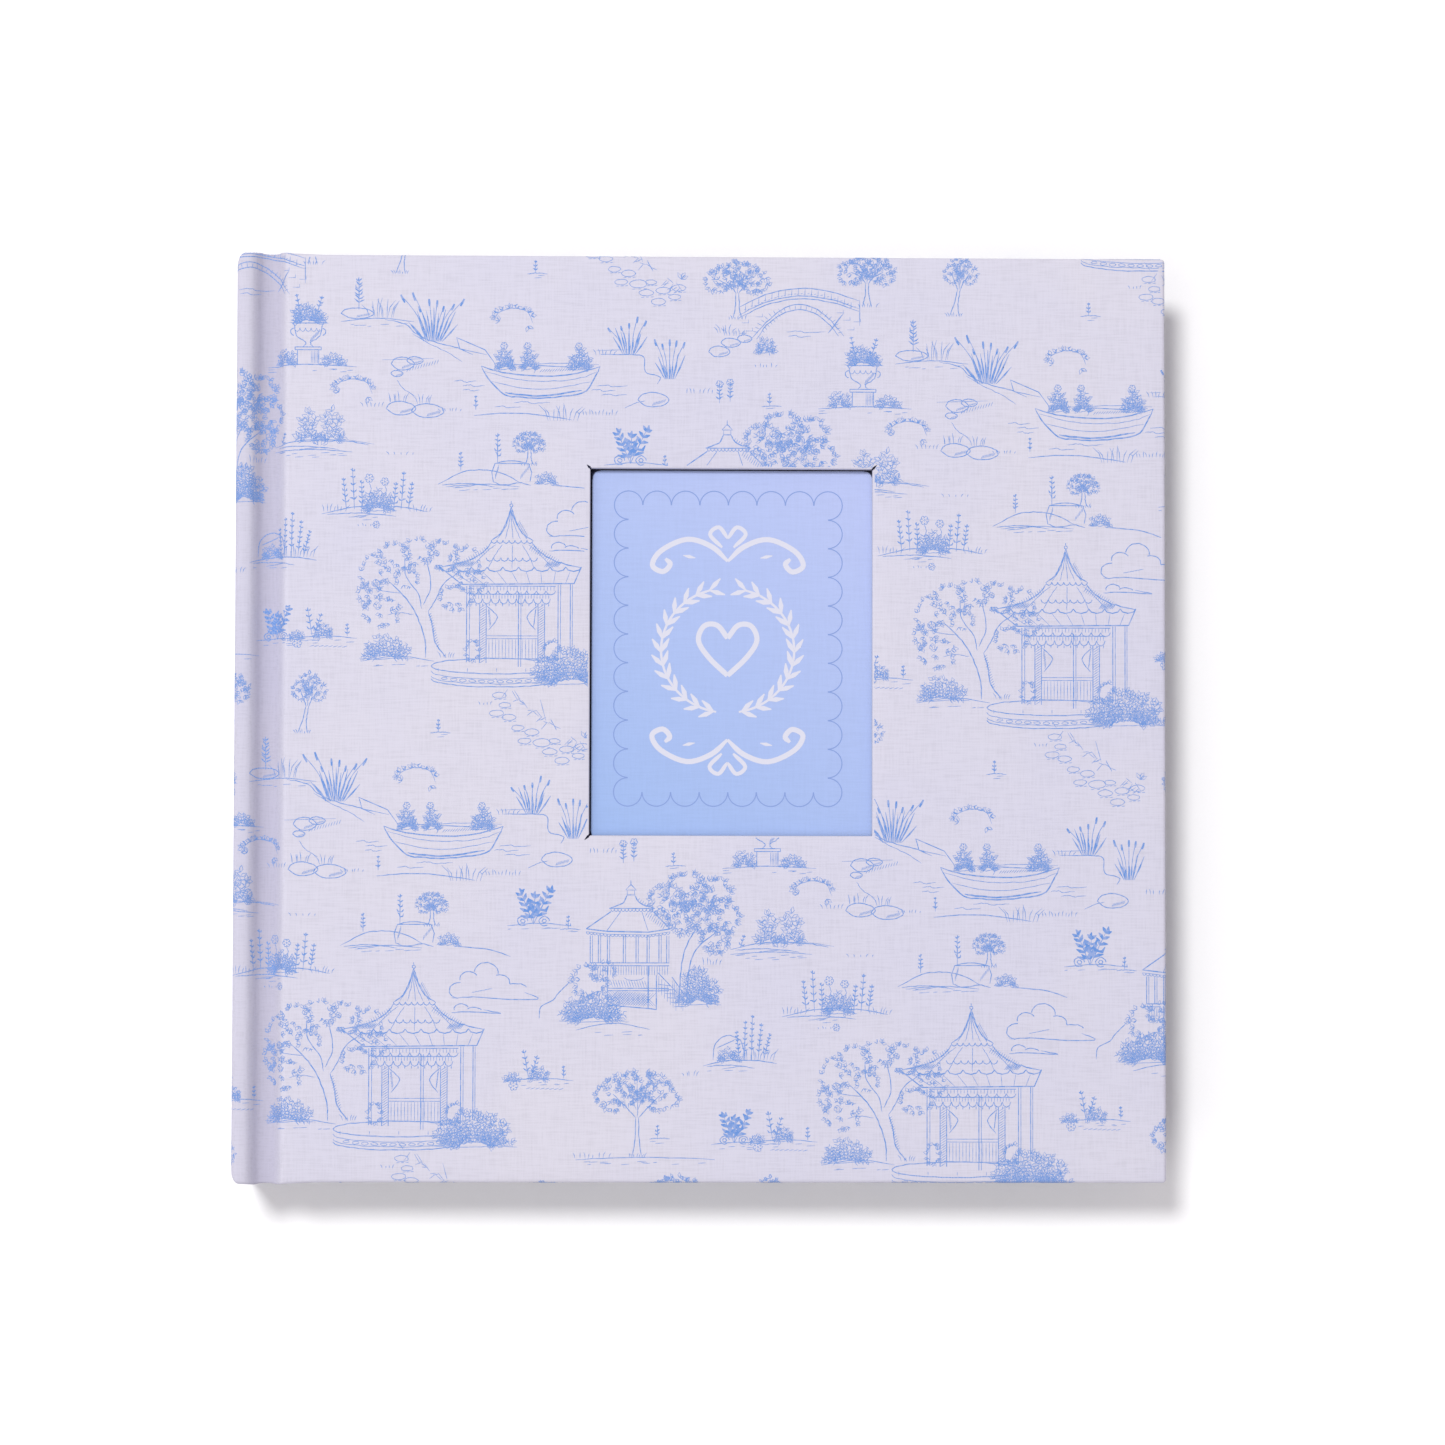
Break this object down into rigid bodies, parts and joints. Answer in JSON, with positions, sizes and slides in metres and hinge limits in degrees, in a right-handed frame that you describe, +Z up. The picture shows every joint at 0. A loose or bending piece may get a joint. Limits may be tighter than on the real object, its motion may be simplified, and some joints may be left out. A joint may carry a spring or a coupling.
{
  "type": "scrapbook album",
  "caption": "Case-bound scrapbook album with cloth covers, French grooves, a window with an insert card in the front cover, and sleeved pages that turn with the covers.",
  "frame": {"origin": "under the middle of the closed album, on the surface it lies on", "axes": "+Z up out of the front cover, +X from the spine to the fore edge, +Y from the tail to the head"},
  "size_m": [0.2286, 0.2274, 0.028],
  "materials": {
    "cover_cloth": "printed linen-textured book cloth",
    "cover_board": "grey binder's board",
    "endpaper": "plain matte endpaper",
    "insert_card": "matte printed card",
    "page_card": "smooth white card",
    "page_sleeve": "clear glossy film",
    "mull": "open-weave gauze",
    "binding_glue": "set binding glue",
    "headband": "woven two-colour headband"
  },
  "bodies": {
    "back_cover": {"back_board": "cover_board", "back_cover_cloth": "cover_cloth", "rear_pastedown": "endpaper"},
    "spine": {"spine_board": "cover_board", "spine_cloth": "cover_cloth", "spine_lining": "endpaper", "spine_mull": "mull", "binding_glue": "binding_glue", "page_guards": "page_card", "headband_head": "headband", "headband_tail": "headband"},
    "front_cover": {"front_board": "cover_board", "front_board_liner": "cover_board", "front_cover_cloth": "cover_cloth", "front_pastedown": "endpaper"},
    "window_card": {"window_card": "insert_card"},
    "front_fly": {"front_flyleaf": "endpaper"},
    "rear_fly": {"rear_flyleaf": "endpaper"},
    "page_01": {"leaf_01": "page_card", "sleeve_01": "page_sleeve"},
    "page_02": {"leaf_02": "page_card", "sleeve_02": "page_sleeve"},
    "page_03": {"leaf_03": "page_card", "sleeve_03": "page_sleeve"},
    "page_04": {"leaf_04": "page_card", "sleeve_04": "page_sleeve"},
    "page_05": {"leaf_05": "page_card", "sleeve_05": "page_sleeve"},
    "page_06": {"leaf_06": "page_card", "sleeve_06": "page_sleeve"},
    "page_07": {"leaf_07": "page_card", "sleeve_07": "page_sleeve"},
    "page_08": {"leaf_08": "page_card", "sleeve_08": "page_sleeve"},
    "page_09": {"leaf_09": "page_card", "sleeve_09": "page_sleeve"},
    "page_10": {"leaf_10": "page_card", "sleeve_10": "page_sleeve"},
    "page_11": {"leaf_11": "page_card", "sleeve_11": "page_sleeve"},
    "page_12": {"leaf_12": "page_card", "sleeve_12": "page_sleeve"},
    "page_13": {"leaf_13": "page_card", "sleeve_13": "page_sleeve"},
    "page_14": {"leaf_14": "page_card", "sleeve_14": "page_sleeve"},
    "page_15": {"leaf_15": "page_card", "sleeve_15": "page_sleeve"},
    "page_16": {"leaf_16": "page_card", "sleeve_16": "page_sleeve"}
  },
  "joints": [
    {"name": "spine_hinge", "type": "hinge", "parent": "back_cover", "child": "spine", "pos_m": [-0.11075, 0, 0.00355], "axis": [0, -1, 0], "range_deg": [0, 90]},
    {"name": "front_hinge", "type": "hinge", "parent": "spine", "child": "front_cover", "pos_m": [-0.11075, 0, 0.02445], "axis": [0, -1, 0], "range_deg": [0, 90]},
    {"name": "card_slide", "type": "slide", "parent": "front_cover", "child": "window_card", "axis": [0, 1, 0], "range_m": [0, 0.12]},
    {"name": "front_fly_turn", "type": "hinge", "parent": "spine", "child": "front_fly", "pos_m": [-0.10975, 0, 0.02388], "axis": [0, -1, 0], "range_deg": [0, 90]},
    {"name": "rear_fly_turn", "type": "hinge", "parent": "spine", "child": "rear_fly", "pos_m": [-0.10975, 0, 0.00413], "axis": [0, -1, 0], "range_deg": [-90, 0]},
    {"name": "page_01_turn", "type": "hinge", "parent": "spine", "child": "page_01", "pos_m": [-0.1089, 0, 0.02303], "axis": [0, -1, 0], "range_deg": [0, 90]},
    {"name": "page_02_turn", "type": "hinge", "parent": "spine", "child": "page_02", "pos_m": [-0.1077, 0, 0.02183], "axis": [0, -1, 0], "range_deg": [0, 90]},
    {"name": "page_03_turn", "type": "hinge", "parent": "spine", "child": "page_03", "pos_m": [-0.1065, 0, 0.02063], "axis": [0, -1, 0], "range_deg": [0, 90]},
    {"name": "page_04_turn", "type": "hinge", "parent": "spine", "child": "page_04", "pos_m": [-0.1053, 0, 0.01943], "axis": [0, -1, 0], "range_deg": [0, 90]},
    {"name": "page_05_turn", "type": "hinge", "parent": "spine", "child": "page_05", "pos_m": [-0.1041, 0, 0.01823], "axis": [0, -1, 0], "range_deg": [0, 90]},
    {"name": "page_06_turn", "type": "hinge", "parent": "spine", "child": "page_06", "pos_m": [-0.1029, 0, 0.01702], "axis": [0, -1, 0], "range_deg": [0, 90]},
    {"name": "page_07_turn", "type": "hinge", "parent": "spine", "child": "page_07", "pos_m": [-0.1017, 0, 0.01582], "axis": [0, -1, 0], "range_deg": [0, 90]},
    {"name": "page_08_turn", "type": "hinge", "parent": "spine", "child": "page_08", "pos_m": [-0.1005, 0, 0.01463], "axis": [0, -1, 0], "range_deg": [0, 90]},
    {"name": "page_09_turn", "type": "hinge", "parent": "spine", "child": "page_09", "pos_m": [-0.1005, 0, 0.01337], "axis": [0, -1, 0], "range_deg": [-90, 0]},
    {"name": "page_10_turn", "type": "hinge", "parent": "spine", "child": "page_10", "pos_m": [-0.1017, 0, 0.01218], "axis": [0, -1, 0], "range_deg": [-90, 0]},
    {"name": "page_11_turn", "type": "hinge", "parent": "spine", "child": "page_11", "pos_m": [-0.1029, 0, 0.01098], "axis": [0, -1, 0], "range_deg": [-90, 0]},
    {"name": "page_12_turn", "type": "hinge", "parent": "spine", "child": "page_12", "pos_m": [-0.1041, 0, 0.00978], "axis": [0, -1, 0], "range_deg": [-90, 0]},
    {"name": "page_13_turn", "type": "hinge", "parent": "spine", "child": "page_13", "pos_m": [-0.1053, 0, 0.00857], "axis": [0, -1, 0], "range_deg": [-90, 0]},
    {"name": "page_14_turn", "type": "hinge", "parent": "spine", "child": "page_14", "pos_m": [-0.1065, 0, 0.00737], "axis": [0, -1, 0], "range_deg": [-90, 0]},
    {"name": "page_15_turn", "type": "hinge", "parent": "spine", "child": "page_15", "pos_m": [-0.1077, 0, 0.00617], "axis": [0, -1, 0], "range_deg": [-90, 0]},
    {"name": "page_16_turn", "type": "hinge", "parent": "spine", "child": "page_16", "pos_m": [-0.1089, 0, 0.00498], "axis": [0, -1, 0], "range_deg": [-90, 0]}
  ],
  "couplings": [
    {"joint": "front_fly_turn", "follows": "front_hinge", "ratio": 1},
    {"joint": "rear_fly_turn", "follows": "spine_hinge", "ratio": -1},
    {"joint": "page_01_turn", "follows": "front_hinge", "ratio": 1},
    {"joint": "page_02_turn", "follows": "front_hinge", "ratio": 1},
    {"joint": "page_03_turn", "follows": "front_hinge", "ratio": 1},
    {"joint": "page_04_turn", "follows": "front_hinge", "ratio": 1},
    {"joint": "page_05_turn", "follows": "front_hinge", "ratio": 1},
    {"joint": "page_06_turn", "follows": "front_hinge", "ratio": 1},
    {"joint": "page_07_turn", "follows": "front_hinge", "ratio": 1},
    {"joint": "page_08_turn", "follows": "front_hinge", "ratio": 1},
    {"joint": "page_09_turn", "follows": "spine_hinge", "ratio": -1},
    {"joint": "page_10_turn", "follows": "spine_hinge", "ratio": -1},
    {"joint": "page_11_turn", "follows": "spine_hinge", "ratio": -1},
    {"joint": "page_12_turn", "follows": "spine_hinge", "ratio": -1},
    {"joint": "page_13_turn", "follows": "spine_hinge", "ratio": -1},
    {"joint": "page_14_turn", "follows": "spine_hinge", "ratio": -1},
    {"joint": "page_15_turn", "follows": "spine_hinge", "ratio": -1},
    {"joint": "page_16_turn", "follows": "spine_hinge", "ratio": -1}
  ]
}
